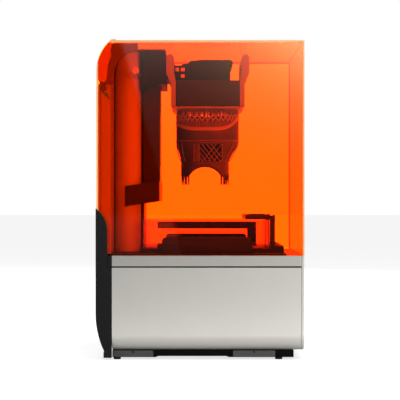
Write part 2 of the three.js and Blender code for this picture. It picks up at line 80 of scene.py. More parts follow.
LIGHTS = {  # each as (place, target, size, power in watts)
    "overhead": ((-0.2, -0.1, 2.2), (0, 0, 0.3), (1.8, 1.8), 30),
    "panel_key": ((-1.1, -1.3, 0.12), (0, 0, 0.15), (1.2, 0.9), 28),
    "low_strip": ((-0.34, -0.02, 0.02), (0, -0.02, 0.06), (0.6, 0.02), 0.12),
    "far": ((2.6, -1.2, 0.9), (0, 0, 0.3), (1.4, 1.4), 35),
    "key": ((-1.6, -1.5, 0.25), (0, 0, 0.15), (1.6, 1.2), 26),
    "fill": ((-1.2, 2.4, 1.2), (0, 0, 0.3), (1.2, 1.6), 20),
    "column_key": ((-2.1, 0.67, 0.4), (-0.1, 0.13, 0.35), (0.5, 0.8), 20),
}


def add_camera():
    """A camera on the printer's left, level, looking straight along +X."""
    data = bpy.data.cameras.new("camera")
    data.lens = FOCAL
    data.sensor_width = SENSOR_WIDTH
    data.clip_end = FARTHEST_SEEN
    camera = bpy.data.objects.new("camera", data)
    low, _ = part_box("side_panel_left")
    camera.location = (low.x - DISTANCE, 0.0, EYE_HEIGHT)
    camera.rotation_euler = (math.pi / 2, 0.0, -math.pi / 2)
    bpy.context.scene.collection.objects.link(camera)
    bpy.context.scene.camera = camera


def area_light(name):
    place, target, size, power = LIGHTS[name]
    data = bpy.data.lights.new(name, "AREA")
    data.shape = "RECTANGLE"
    data.size, data.size_y = size
    data.energy = power
    light = bpy.data.objects.new(name, data)
    light.location = place
    aim = Vector(target) - Vector(place)
    light.rotation_euler = aim.to_track_quat("-Z", "Y").to_euler()
    light.visible_camera = False
    bpy.context.scene.collection.objects.link(light)
    return light


def strengths(tree, steps):
    """A strength for camera, glossy and other rays, each as (in the open, past tinted panels)."""
    path = tree.nodes.new("ShaderNodeLightPath")
    depth = path.outputs["Transparent Depth"]
    seen = map_range(tree, calc(tree, "GREATER_THAN", depth, PAST_ONE_FACE), 0, 1, *steps["camera"])
    inside = calc(tree, "GREATER_THAN", depth, PAST_A_PANEL)
    mirrored = map_range(tree, inside, 0, 1, *steps["glossy"])
    lit = map_range(tree, inside, 0, 1, *steps["diffuse"])
    pick = tree.nodes.new("ShaderNodeMix")
    tree.links.new(path.outputs["Is Glossy Ray"], pick.inputs["Factor"])
    tree.links.new(lit, pick.inputs["A"])
    tree.links.new(mirrored, pick.inputs["B"])
    last = tree.nodes.new("ShaderNodeMix")
    tree.links.new(path.outputs["Is Camera Ray"], last.inputs["Factor"])
    tree.links.new(pick.outputs["Result"], last.inputs["A"])
    tree.links.new(seen, last.inputs["B"])
    return last.outputs["Result"]


def add_world():
    """A plain white backdrop."""
    world = bpy.data.worlds.new("studio")
    bpy.context.scene.world = world
    world.use_nodes = True
    tree = world.node_tree
    tree.nodes.clear()
    out = tree.nodes.new("ShaderNodeOutputWorld")
    sky = tree.nodes.new("ShaderNodeBackground")
    sky.inputs["Color"].default_value = (1, 1, 1, 1)
    tree.links.new(strengths(tree, SKY), sky.inputs["Strength"])
    tree.links.new(sky.outputs[0], out.inputs["Surface"])


def add_floor():
    """A pale floor that glows a little, so that it stays as light as the backdrop."""
    reach = FLOOR_REACH
    mesh = bpy.data.meshes.new("floor")
    corners = [(-reach, -reach, 0), (reach, -reach, 0), (reach, reach, 0), (-reach, reach, 0)]
    mesh.from_pydata(corners, [], [(0, 1, 2, 3)])
    floor = bpy.data.objects.new("floor", mesh)
    bpy.context.scene.collection.objects.link(floor)
    mat = bpy.data.materials.new("floor")
    mat.use_nodes = True
    tree = mat.node_tree
    tree.nodes.clear()
    out = tree.nodes.new("ShaderNodeOutputMaterial")
    glow = tree.nodes.new("ShaderNodeEmission")
    tree.links.new(strengths(tree, FLOOR), glow.inputs["Strength"])
    paint = tree.nodes.new("ShaderNodeBsdfDiffuse")
    paint.inputs["Color"].default_value = FLOOR_GREY
    both = tree.nodes.new("ShaderNodeAddShader")
    tree.links.new(glow.outputs[0], both.inputs[0])
    tree.links.new(paint.outputs[0], both.inputs[1])
    tree.links.new(both.outputs[0], out.inputs["Surface"])
    mesh.materials.append(mat)


def add_softbox():
    """A tall card of light behind the camera, with a slanted edge, that the cover mirrors."""
    mesh = bpy.data.meshes.new("softbox")
    mesh.from_pydata([(SOFTBOX_X, y, z) for y, z in SOFTBOX_CORNERS], [], [(0, 1, 2, 3)])
    card = bpy.data.objects.new("softbox", mesh)
    bpy.context.scene.collection.objects.link(card)
    card.visible_camera = False
    mat = bpy.data.materials.new("softbox")
    mat.use_nodes = True
    tree = mat.node_tree
    tree.nodes.clear()
    out = tree.nodes.new("ShaderNodeOutputMaterial")
    glow = tree.nodes.new("ShaderNodeEmission")
    coords = tree.nodes.new("ShaderNodeTexCoord")
    split = tree.nodes.new("ShaderNodeSeparateXYZ")
    tree.links.new(coords.outputs["Object"], split.inputs[0])
    side = map_range(tree, split.outputs["Y"], 0.25, -0.45, 0.0, 1.0)
    rise = map_range(tree, split.outputs["Z"], 0.0, 0.95, 0.1, 1.0)
    both = calc(tree, "MULTIPLY", side, rise)
    sideways = map_range(tree, calc(tree, "POWER", side, 3.0), 0.0, 1.0, 0.11, 1.0)
    upward = calc(tree, "POWER", rise, 6.0)
    shape = calc(tree, "MULTIPLY", sideways, upward)
    strength = map_range(tree, shape, 0.0, 1.0, *SOFTBOX_STRENGTH)
    tree.links.new(strength, glow.inputs["Strength"])
    warmth = map_range(tree, both, 0.1, 0.7, 0.0, 1.0)
    tree.links.new(tinted_mix(tree, warmth, *SOFTBOX_COLOURS), glow.inputs["Color"])
    tree.links.new(glow.outputs[0], out.inputs["Surface"])
    mesh.materials.append(mat)
    shine_on(card, [node for node, slot in SLOT_OF.items() if slot == "acrylic"])


def shine_on(light, names):
    """Lets a light reach only the named pieces."""
    receivers = bpy.data.collections.new(light.name + "_receivers")
    for name in names:
        receivers.objects.link(bpy.data.objects[name])
    light.light_linking.receiver_collection = receivers


def add_key_lights():
    """Soft lights that each reach one group of pieces: the silver, the inside or the column."""
    pieces = [item.name for item in bpy.context.scene.objects if item.type == "MESH"]
    silver = [name for name in pieces if name.startswith(("side_panel", "deck_rim", "front_panel"))]
    column = [name for name in pieces if name.startswith(("rear_spine", "rear_panel", "hinge_arm"))]
    stage = ("floor", "softbox")
    others = [name for name in pieces if name not in silver and name not in stage]
    clear = [node for node, slot in SLOT_OF.items() if slot == "acrylic"]
    not_clear = [name for name in pieces if name not in clear and name != "softbox"]
    reached = {
        "panel_key": silver, "low_strip": silver, "far": not_clear, "key": others, "fill": others,
        "column_key": column,
    }
    for name, group in reached.items():
        shine_on(area_light(name), group)


# ---- Node helpers
def calc(tree, operation, a, b):
    """A Math node; a and b are numbers or sockets."""
    node = tree.nodes.new("ShaderNodeMath")
    node.operation = operation
    for socket, value in zip(node.inputs, (a, b)):
        if isinstance(value, (int, float)):
            socket.default_value = value
        else:
            tree.links.new(value, socket)
    return node.outputs[0]


def map_range(tree, value, low, high, to_low, to_high):
    node = tree.nodes.new("ShaderNodeMapRange")
    node.inputs["From Min"].default_value = low
    node.inputs["From Max"].default_value = high
    node.inputs["To Min"].default_value = to_low
    node.inputs["To Max"].default_value = to_high
    tree.links.new(value, node.inputs["Value"])
    return node.outputs[0]


def noise(tree, coords, scale, stretch=(1, 1, 1)):
    mapping = tree.nodes.new("ShaderNodeMapping")
    mapping.inputs["Scale"].default_value = stretch
    tree.links.new(coords, mapping.inputs["Vector"])
    node = tree.nodes.new("ShaderNodeTexNoise")
    node.inputs["Scale"].default_value = scale
    node.inputs["Detail"].default_value = NOISE_DETAIL
    tree.links.new(mapping.outputs[0], node.inputs["Vector"])
    return node.outputs["Fac"]


def tinted_mix(tree, fac, a, b):
    """A colour between a and b."""
    node = tree.nodes.new("ShaderNodeMix")
    node.data_type = "RGBA"
    tree.links.new(fac, node.inputs["Factor"])
    node.inputs["A"].default_value = (*a, 1)
    node.inputs["B"].default_value = (*b, 1)
    return node.outputs["Result"]


# ---- Materials
NOISE_DETAIL = 3.0
MOTTLE_SCALE = 28  # of the broad colour mottling
SMUDGE_SCALE = 14  # of the smudges on clear sheet
BUMP_DISTANCE = 0.0001
TINT = (0.985, 0.43, 0.06)  # what one face of the cover lets through
TANK_TINT = (0.985, 0.78, 0.6)
FILM_TINT = (0.95, 0.95, 0.95)
EDGE_GLOW = (0.88, 0.48, 0.2, 1)  # painted glow on the cut edges and bonded joints of the cover's panels: a light colour that also emits a little
ACRYLIC_IOR = 1.49


def surface(name, colour, rough, metallic=0.0, mottle=0.08, grain=1800, depth=0.03, stretch=(1, 1, 1),
            spread=0.07, specular=0.5):
    """A Principled surface with colour mottling, varied roughness and a fine grain."""
    mat = bpy.data.materials.new(name)
    mat.use_nodes = True
    tree = mat.node_tree
    shader = tree.nodes["Principled BSDF"]
    shader.inputs["Metallic"].default_value = metallic
    shader.inputs["Specular IOR Level"].default_value = specular
    coords = tree.nodes.new("ShaderNodeTexCoord").outputs["Object"]
    broad = noise(tree, coords, MOTTLE_SCALE)
    darker = [c * (1 - mottle) for c in colour]
    lighter = [min(1.0, c * (1 + mottle)) for c in colour]
    tree.links.new(tinted_mix(tree, broad, darker, lighter), shader.inputs["Base Color"])
    fine = noise(tree, coords, grain, stretch)
    tree.links.new(
        map_range(tree, fine, 0.3, 0.7, rough - spread, rough + spread), shader.inputs["Roughness"]
    )
    bump = tree.nodes.new("ShaderNodeBump")
    bump.inputs["Strength"].default_value = depth * 10
    bump.inputs["Distance"].default_value = BUMP_DISTANCE
    tree.links.new(fine, bump.inputs["Height"])
    tree.links.new(bump.outputs[0], shader.inputs["Normal"])
    return mat


def clear_tint(name, through, rough=0.03, edges=None):
    """Clear tinted sheet. through is the share of light that each face lets pass. edges holds the panel's
    flat axis and the bands, as (axis, from, to), where its bonded joints lie. These bands and the sheet's
    cut edges get a painted glow: a light colour with a weak emission, standing for the light that the
    sheet carries to its edges."""
    mat = bpy.data.materials.new(name)
    mat.use_nodes = True
    tree = mat.node_tree
    tree.nodes.clear()
    out = tree.nodes.new("ShaderNodeOutputMaterial")
    coords = tree.nodes.new("ShaderNodeTexCoord").outputs["Object"]
    smudge = noise(tree, coords, SMUDGE_SCALE)
    less = [c * 0.97 for c in through]
    pane = tree.nodes.new("ShaderNodeBsdfTransparent")
    tree.links.new(tinted_mix(tree, smudge, less, through), pane.inputs["Color"])
    gloss = tree.nodes.new("ShaderNodeBsdfGlossy")
    tree.links.new(
        map_range(tree, smudge, 0.3, 0.7, rough * 0.6, rough * 1.6), gloss.inputs["Roughness"]
    )
    fresnel = tree.nodes.new("ShaderNodeFresnel")
    fresnel.inputs["IOR"].default_value = ACRYLIC_IOR
    mix = tree.nodes.new("ShaderNodeMixShader")
    tree.links.new(calc(tree, "MINIMUM", fresnel.outputs[0], 0.3), mix.inputs[0])
    tree.links.new(pane.outputs[0], mix.inputs[1])
    tree.links.new(gloss.outputs[0], mix.inputs[2])
    shown = mix.outputs[0]
    if edges:
        flat_axis, bands = edges
        place = tree.nodes.new("ShaderNodeSeparateXYZ")
        tree.links.new(coords, place.inputs[0])
        geometry = tree.nodes.new("ShaderNodeNewGeometry")
        normal = tree.nodes.new("ShaderNodeSeparateXYZ")
        tree.links.new(geometry.outputs["True Normal"], normal.inputs[0])
        size = calc(tree, "ABSOLUTE", normal.outputs[flat_axis], 0)
        mask = calc(tree, "LESS_THAN", size, 0.5)
        for axis, start, end in bands:
            band = map_range(tree, place.outputs[axis], start, end, 0.0, 1.0)
            mask = calc(tree, "MAXIMUM", mask, band)
        # Painted glow on the cut edges and joint bands: a light colour with a weak emission, though they
        # are no lamp.
        rim = tree.nodes.new("ShaderNodeBsdfPrincipled")
        rim.inputs["Base Color"].default_value = EDGE_GLOW
        rim.inputs["Roughness"].default_value = 0.35
        rim.inputs["Emission Color"].default_value = EDGE_GLOW
        rim.inputs["Emission Strength"].default_value = 0.2
        blend = tree.nodes.new("ShaderNodeMixShader")
        tree.links.new(calc(tree, "MULTIPLY", mask, 0.85), blend.inputs[0])
        tree.links.new(shown, blend.inputs[1])
        tree.links.new(rim.outputs[0], blend.inputs[2])
        shown = blend.outputs[0]
    tree.links.new(shown, out.inputs["Surface"])
    return mat


def make_materials():
    low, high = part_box("cover_side_left")
    # Bands near the side panel's top, front and rear borders, at its bonded joints, which get the painted
    # edge glow.
    joint_glow_bands = [
        ("Z", high.z - 6.6 * MM, high.z - 5.5 * MM),
        ("Y", low.y + 3.2 * MM, low.y + 2.2 * MM),
        ("Y", high.y - 3.2 * MM, high.y - 2.2 * MM),
    ]
    return {
        "silver": surface("silver", (0.69, 0.68, 0.63), 0.5, 0.35, 0.025, 2600, 0.01, spread=0.04),
        "black": surface("black", (0.009, 0.0092, 0.0096), 0.55, 0, 0.12, 1400, 0.03, specular=0.3),
        "anodised": surface("anodised", (0.03, 0.028, 0.03), 0.36, 0.6, 0.1, 2200, 0.02),
        # A darker, less glossy copy of the black plastic for the base plate: the darker colour is painted
        # shade under the machine.
        "under": surface("under", (0.004, 0.004, 0.004), 0.75, 0, 0.2, 1200, 0.04, specular=0.1),
        # A dull dark grey for the cover's corner webs and the plates below the hinge arms' feet: painted
        # shade.
        "web": surface("web", (0.22, 0.2, 0.2), 0.5, 0, 0.1, 1500, 0.03, specular=0.3),
        "rim": surface("rim", (0.66, 0.65, 0.6), 0.4, 0.5, 0.025, 2600, 0.01, spread=0.04),
        # A darkened steel for the skids under the base: painted shade from the machine above them.
        "skid": surface("skid", (0.13, 0.13, 0.122), 0.45, 0.5, 0.06, 900, 0.03, (1, 14, 1)),
        "arm": surface("arm", (0.006, 0.0055, 0.006), 0.55, 0, 0.1, 2200, 0.02, specular=0.12),
        "cap": surface("cap", (0.008, 0.008, 0.009), 0.55, 0, 0.1, 1500, 0.03, specular=0.12),
        "plate": surface("plate", (0.42, 0.42, 0.42), 0.42, 0.4, 0.08, 900, 0.03, (1, 14, 1)),
        "spine": surface("spine", (0.7, 0.69, 0.67), 0.55, 0.0, 0.03, 2000, 0.012, specular=0.25),
        # A darker copy of the spine's paint for the rear panel, which shares its slot: painted shade on
        # the rear wall.
        "wall": surface("wall", (0.46, 0.45, 0.44), 0.55, 0.0, 0.03, 2000, 0.012, specular=0.25),
        "steel": surface("steel", (0.6, 0.6, 0.6), 0.3, 1.0, 0.06, 900, 0.03, (1, 14, 1)),
        "handle": surface("handle", (0.4, 0.44, 0.45), 0.42, 0.3, 0.05, 2400, 0.012),
        "hinge_metal": surface("hinge_metal", (0.5, 0.28, 0.24), 0.4, 0.1, 0.05, 2000, 0.015),
        "platform": surface("platform", (0.022, 0.024, 0.026), 0.55, 0.1, 0.12, 1700, 0.02, specular=0.25),
        "rubber": surface("rubber", (0.012, 0.012, 0.012), 0.8, 0, 0.2, 1200, 0.05),
        # The print is all one resin. The three copies after it paint light and shade: a darker one as
        # painted shade on the inner core, a much lighter one as a painted highlight on the lip and braces,
        # and a lighter one as painted light on the thin supports and lattice.
        "resin": surface("resin", (0.085, 0.07, 0.067), 0.42, 0, 0.1, 1500, 0.04, (1, 1, 5)),
        "resin_dark": surface("resin_dark", (0.02, 0.017, 0.017), 0.6, 0, 0.1, 1500, 0.04, (1, 1, 5)),
        "resin_edge": surface("resin_edge", (0.72, 0.62, 0.6), 0.4, 0, 0.1, 1500, 0.03),
        "resin_mid": surface("resin_mid", (0.36, 0.31, 0.3), 0.4, 0, 0.1, 1500, 0.03),
        "glass": surface("glass", (0.006, 0.007, 0.009), 0.06, 0, 0.3, 60, 0.0, spread=0.03),
        "board": surface("board", (0.015, 0.11, 0.045), 0.4, 0, 0.15, 500, 0.05),
        "power": surface("power", (0.55, 0.55, 0.55), 0.4, 1.0, 0.06, 900, 0.03, (1, 10, 1)),
        "brass": surface("brass", (0.75, 0.55, 0.3), 0.3, 0.8, 0.08, 1500, 0.02),
        "acrylic_side": clear_tint("acrylic_side", TINT, edges=("X", joint_glow_bands)),
        "acrylic_front": clear_tint("acrylic_front", TINT, edges=("Y", [])),
        "acrylic_top": clear_tint("acrylic_top", TINT, edges=("Z", [])),
        "acrylic_cap": clear_tint("acrylic_cap", TINT),
        "tank": clear_tint("tank", TANK_TINT, 0.05),
        "film": clear_tint("film", FILM_TINT, 0.05),
    }


MATERIAL_FOR = {  # nodes that look different from the rest of their slot; some are darker copies that paint shade
    "base_plate": "under",
    # The rear panel gets the darker spine copy: painted shade.
    "rear_panel": "wall",
    "carriage_arm": "arm",
    "platform_cap": "cap",
    "build_plate": "plate",
    "deck_rim_left": "rim",
    "deck_rim_right": "rim",
    "skid_front_left": "skid",
    "skid_front_right": "skid",
    "skid_rear_left": "skid",
    "skid_rear_right": "skid",
    "cover_side_left": "acrylic_side",
    "cover_side_right": "acrylic_side",
    "cover_front": "acrylic_front",
    "cover_top": "acrylic_top",
    "cover_cap": "acrylic_cap",
}


# ---- Pieces
DEFAULT_ROUNDING = 0.45 * MM
ROUNDING = {"side_panel": 0.8 * MM, "front_panel": 0.8 * MM, "deck_rim": 0.8 * MM}
ROUNDED_ABOVE = math.radians(32)  # sharper edges than this are rounded, the rest is a curve
SAME_PLACE = 2e-6
SAME_PLANE = math.radians(0.6)
MOST_CORNERS = 40  # a merged face with more than this is a pierced panel, which keeps its triangles


def new_piece(name, mesh, material, body):
    piece = bpy.data.objects.new(name, mesh)
    bpy.context.scene.collection.objects.link(piece)
    mesh.materials.clear()
    mesh.materials.append(material)
    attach(piece, body)
    return piece


def level_shading(piece):
    """Keeps flat faces flat beside their rounded edges."""
    shading = piece.modifiers.new("shading", "WEIGHTED_NORMAL")
    shading.mode = "FACE_AREA"
    shading.weight = 60
    shading.keep_sharp = True


def refined(node, material):
    """A copy of a CAD node with its facets merged, its corners rounded and its curves smooth."""
    made = bmesh.new()
    made.from_mesh(NODES[node].data)
    bmesh.ops.remove_doubles(made, verts=made.verts, dist=SAME_PLACE)
    bmesh.ops.dissolve_limit(
        made, angle_limit=SAME_PLANE, verts=made.verts, edges=made.edges, delimit=set()
    )
    if max(len(face.verts) for face in made.faces) > MOST_CORNERS:
        made.clear()
        made.from_mesh(NODES[node].data)
        bmesh.ops.remove_doubles(made, verts=made.verts, dist=SAME_PLACE)
    mesh = bpy.data.meshes.new(node + "_finished")
    made.to_mesh(mesh)
    made.free()
    mesh.shade_smooth()
    piece = new_piece(node + "_finished", mesh, material, BODY_OF[node])
    bevel = piece.modifiers.new("rounding", "BEVEL")
    bevel.width = ROUNDING.get(node.replace("_left", "").replace("_right", ""), DEFAULT_ROUNDING)
    bevel.segments = 2
    bevel.limit_method = "ANGLE"
    bevel.angle_limit = ROUNDED_ABOVE
    bevel.use_clamp_overlap = False
    bevel.loop_slide = False
    level_shading(piece)
    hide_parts(node)


def finished_mesh(name, made, crease=38):
    """The bmesh as a smooth-shaded mesh that keeps its corners sharp."""
    bmesh.ops.recalc_face_normals(made, faces=made.faces)
    mesh = bpy.data.meshes.new(name)
    made.to_mesh(mesh)
    made.free()
    mesh.shade_smooth()
    mesh.set_sharp_from_angle(angle=math.radians(crease))
    return mesh


def strut(made, start, end, radius, tip=None, sides=6):
    """Adds a round bar from start to end; tip is its radius at the end."""
    turn = (end - start).to_track_quat("Z", "Y")
    rings = []
    for centre, size in ((start, radius), (end, radius if tip is None else tip)):
        ring = []
        for i in range(sides):
            angle = 2 * math.pi * i / sides
            spoke = turn @ Vector((math.cos(angle), math.sin(angle), 0))
            ring.append(made.verts.new(centre + spoke * size))
        rings.append(ring)
    made.faces.new(list(reversed(rings[0])))
    made.faces.new(rings[1])
    for i in range(sides):
        j = (i + 1) % sides
        made.faces.new((rings[0][i], rings[0][j], rings[1][j], rings[1][i]))


def chain(made, points, radius, sides=6):
    """Adds round bars from each point to the next."""
    for start, end in zip(points, points[1:]):
        strut(made, start, end, radius, sides=sides)


# ---- The part being printed: an oval shell that hangs from the plate on thin supports
LEG_ANGLES = [end + spread for end in (0.0, math.pi) for spread in (-0.62, -0.36, -0.12, 0.12, 0.36, 0.62)]
WALL = 2.0 * MM
SHELL_COLUMNS = 168
CORE_COLUMNS = 96
RIM_COLUMNS = 120


class Print:
    """The oval shell's shape, worked out from the box of its CAD solid."""

    def __init__(self):
        self.low, self.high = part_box("printed_part")
        self.middle = (self.low + self.high) / 2
        self.half = (self.high - self.low) / 2
        self.lean = 4.6 * MM  # how far the narrow stretch stands behind the rest
        self.narrow_from = self.low.z + 82 * MM  # the shell narrows below this
        self.narrow_to = self.low.z + 41 * MM
        self.chest = self.low.z + 96 * MM
        self.arch_y = self.middle.y + self.lean
        self.arch_radius = 35 * MM
        self.arch_foot = self.low.z + 0.5 * MM
        self.tip = self.low.z + 17 * MM
        self.brace = (self.low.z + 117 * MM, self.low.z + 130 * MM)

    def point(self, angle, z, grow=0.0):
        """On the shell at this angle, 0 at the rear end and a half turn at the front end."""
        t = min(1.0, max(0.0, (self.narrow_from - z) / (self.narrow_from - self.narrow_to)))
        narrow = t * t * (3 - 2 * t)
        x = (self.half.x * (1 - 0.18 * narrow) + grow) * math.sin(angle)
        y = (self.half.y * (1 - 0.233 * narrow) + grow) * math.cos(angle)
        return Vector((x, self.middle.y + self.lean * narrow + y, z))

    def top(self, angle):
        """The shell's upper edge, which sags between its two ends."""
        along = math.cos(angle)
        rise = (12 if along > 0 else 25) * MM
        return self.low.z + 99.5 * MM + rise * along ** 4

    def bottom(self, angle):
        """The shell's lower edge: the arch, and the tips of the legs beside it."""
        y = self.point(angle, self.narrow_to).y - self.arch_y
        arch = math.sqrt(max(0.0, self.arch_radius ** 2 - y * y))
        return max(self.tip, self.arch_foot + arch)

    def on_side(self, side, y, z):
        """The point of the shell's left (-1) or right (1) side at this y and z."""
        centre = self.point(math.pi / 2, z)
        reach = self.point(0.0, z).y - centre.y
        cosine = max(-1.0, min(1.0, (y - centre.y) / reach))
        return self.point(math.acos(cosine) * side, z)


def spread_levels(start, end, steps):
    """Heights from start up to, but not including, end."""
    return [start + (end - start) * k / steps for k in range(steps)]


def print_shell(shape):
    """The shell's thin wall, with two windows in its left side."""
    waist, chest = shape.narrow_to, shape.chest
    windows = [  # (from y, to y, from z, to z) on the left side
        (-40 * MM, 1 * MM, shape.low.z + 43.5 * MM, shape.low.z + 74 * MM),
        (4 * MM, 10.5 * MM, shape.low.z + 43.5 * MM, shape.low.z + 74 * MM),
    ]
    made = bmesh.new()
    grid = []
    for i in range(SHELL_COLUMNS):
        angle = 2 * math.pi * i / SHELL_COLUMNS
        levels = spread_levels(shape.bottom(angle), waist, 8) + spread_levels(waist, chest, 22)
        levels += spread_levels(chest, shape.top(angle), 6) + [shape.top(angle)]
        grid.append([made.verts.new(shape.point(angle, z)) for z in levels])
    for i in range(SHELL_COLUMNS):
        here, after = grid[i], grid[(i + 1) % SHELL_COLUMNS]
        for k in range(len(here) - 1):
            middle = (here[k].co + after[k + 1].co) / 2
            hole = any(a < middle.y < b and c < middle.z < d for a, b, c, d in windows)
            if hole and middle.x < 0:
                continue
            made.faces.new((here[k], here[k + 1], after[k + 1], after[k]))
    bmesh.ops.delete(made, geom=[v for v in made.verts if not v.link_faces], context="VERTS")
    return finished_mesh("print_shell", made)


def print_core(shape):
    """The inner wall that stands between the inner supports, from the shell's middle to the plate."""
    levels = [shape.low.z + h * MM for h in (70, 84, 98, 112, 124)]
    made = bmesh.new()
    grid = []
    for i in range(CORE_COLUMNS):
        angle = 2 * math.pi * i / CORE_COLUMNS
        ripple = 0.5 * MM * math.sin(angle * 24)
        grid.append([made.verts.new(shape.point(angle, z, -9 * MM + ripple)) for z in levels])
    for i in range(CORE_COLUMNS):
        here, after = grid[i], grid[(i + 1) % CORE_COLUMNS]
        for k in range(len(levels) - 1):
            made.faces.new((here[k], here[k + 1], after[k + 1], after[k]))
    return finished_mesh("print_core", made)


def print_rim(shape):
    """The thick lip along the shell's sagging upper edge."""
    width, height = 1.6 * MM, 3.7 * MM
    sides = 10
    made = bmesh.new()
    rings = []
    for i in range(RIM_COLUMNS):
        angle = 2 * math.pi * i / RIM_COLUMNS
        centre = shape.point(angle, shape.top(angle) + 2.4 * MM, -0.9 * MM)
        outward = Vector((math.sin(angle), math.cos(angle), 0)).normalized()
        ring = []
        for k in range(sides):
            turn = 2 * math.pi * (k + 0.5) / sides
            rise = Vector((0, 0, height * math.sin(turn)))
            ring.append(made.verts.new(centre + outward * (width * math.cos(turn)) + rise))
        rings.append(ring)
    for i in range(RIM_COLUMNS):
        here, after = rings[i], rings[(i + 1) % RIM_COLUMNS]
        for k in range(sides):
            m = (k + 1) % sides
            made.faces.new((here[k], after[k], after[m], here[m]))
    return finished_mesh("print_rim", made, 60)


def print_supports(shape):
    """Thin columns from the plate to the lip, short bars between them and columns further in."""
    made = bmesh.new()
    plate = shape.high.z
    under_braces = shape.brace[0]
    count = 44
    for i in range(count):
        angle = 2 * math.pi * i / count
        start = shape.point(angle, plate, -2 * MM)
        end = shape.point(angle, shape.top(angle) + 4 * MM, -2 * MM)
        strut(made, start, end, 0.9 * MM)
    for i in range(count):
        for share in (0.25, 0.5, 0.75):
            angle = 2 * math.pi * (i + share) / count
            start = shape.point(angle, under_braces, -2 * MM)
            end = shape.point(angle, min(under_braces - MM, shape.top(angle) + 5 * MM), -2 * MM)
            strut(made, start, end, 0.7 * MM)
    for inset, number in ((5, 64), (16, 40), (28, 18)):  # inset in millimetres
        for i in range(number):
            angle = 2 * math.pi * (i + random.uniform(-0.3, 0.3)) / number
            start = shape.point(angle, plate, -inset * MM)
            end = shape.point(angle, shape.low.z + 100 * MM, -inset * MM)
            strut(made, start, end, 0.8 * MM)
    return finished_mesh("print_supports", made, 50)


def print_braces(shape):
    """The crossed braces in a ring around the outer columns."""
    made = bmesh.new()
    inset = 0.9 * MM
    count = 36
    for i in range(count):
        here = 2 * math.pi * i / count
        after = 2 * math.pi * (i + 1) / count
        for low, high in (shape.brace, shape.brace[::-1]):
            strut(made, shape.point(here, low, -inset), shape.point(after, high, -inset), 1.15 * MM)
    return finished_mesh("print_braces", made, 50)


def print_lattice(shape):
    """Braces across the windows, their frames, a ring above them and bars down the narrow stretch."""
    made = bmesh.new()
    low, high = shape.low.z + 43 * MM, shape.low.z + 74.5 * MM
    front, rear = -40.5 * MM, 1.5 * MM
    run = 0.8  # how far a brace moves forward for each step down

    def brace(side, y, slope):
        points = []
        for k in range(13):
            z = high - (high - low) * k / 12
            there = y + slope * (high - z)
            if front <= there <= rear:
                points.append(shape.on_side(side, there, z))
        if len(points) > 1:
            chain(made, points, 0.95 * MM)

    for y in (20, 13, 5, -3, -12, -20):
        brace(-1, y * MM, -run)
    for y in (-30, -40, -50, -62):
        brace(-1, y * MM, run)
    for side in (-1, 1):
        for y in (front, rear, 4 * MM, 7.3 * MM, 10.5 * MM):
            chain(made, [shape.on_side(side, y, z) for z in (low, (low + high) / 2, high)], 0.9 * MM)
    ring = [shape.point(2 * math.pi * i / 96, shape.low.z + 81 * MM) for i in range(97)]
    chain(made, ring, 0.7 * MM)
    heights = (84, 74, 62, 52, 43)
    bulges = (-0.4, 0.4, 1.9, 2.6, -0.2)
    for angle in LEG_ANGLES:
        points = [shape.point(angle, shape.low.z + h * MM, b * MM) for h, b in zip(heights, bulges)]
        chain(made, points, 0.8 * MM)
    return finished_mesh("print_lattice", made, 50)


def print_ribs(shape):
    """The fine upright ribs above the windows."""
    made = bmesh.new()
    for side in (-1, 1):
        for i in range(40):
            y = (18 - 2.1 * i) * MM
            chain(made, [shape.on_side(side, y, shape.low.z + h * MM) for h in (80, 93)], 0.5 * MM)
    return finished_mesh("print_ribs", made, 50)


def print_arch(shape):
    """The bead along the arch between the shell's legs, and the broken supports under each leg."""
    made = bmesh.new()
    for angle in LEG_ANGLES:
        for inset in (1.6, 7.5):  # in millimetres
            top = shape.point(angle, shape.tip + (3 + inset) * MM, -inset * MM)
            foot = Vector((top.x, top.y + random.uniform(-0.8, 0.8) * MM, shape.low.z + 0.3 * MM))
            strut(made, top, foot, 2.3 * MM, 0.9 * MM)
    for side in (-1, 1):
        points = []
        for i in range(29):
            turn = math.pi * (0.09 + 0.82 * i / 28)
            y = shape.arch_y + shape.arch_radius * math.cos(turn)
            z = shape.arch_foot + shape.arch_radius * math.sin(turn)
            points.append(shape.on_side(side, y, max(z, shape.tip)))
        chain(made, points, 1.5 * MM, 8)
    return finished_mesh("print_arch", made, 50)


def add_print(materials):
    shape = Print()
    # Each print piece gets the resin, or one of its copies that paint shade, light or a highlight.
    makers = {
        "print_shell": (print_shell, "resin"),
        "print_core": (print_core, "resin_dark"),
        "print_rim": (print_rim, "resin_edge"),
        "print_supports": (print_supports, "resin_mid"),
        "print_braces": (print_braces, "resin_edge"),
        "print_lattice": (print_lattice, "resin_mid"),
        "print_ribs": (print_ribs, "resin"),
        "print_arch": (print_arch, "resin"),
    }
    for name, (make, look) in makers.items():
        piece = new_piece(name, make(shape), materials[look], BODY_OF["printed_part"])
        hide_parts("printed_part")
        if name in ("print_shell", "print_core"):
            thick = piece.modifiers.new("thickness", "SOLIDIFY")
            thick.thickness = WALL
            thick.offset = -1.0


# ---- Small fittings
HINGE_Y = 111.5 * MM
HINGE_Z = 500 * MM


def block(name, low, high, material, body, width=0.6 * MM):
    """A small block with rounded edges between two corners."""
    made = bmesh.new()
    bmesh.ops.create_cube(made, size=1.0)
    size = Vector(high) - Vector(low)
    middle = (Vector(high) + Vector(low)) / 2
    for vert in made.verts:
        vert.co = Vector(a * b for a, b in zip(vert.co, size)) + middle
    bmesh.ops.bevel(
        made, geom=list(made.edges), offset=width, segments=3, profile=0.5, affect="EDGES"
    )
    return new_piece(name, finished_mesh(name, made), material, body)


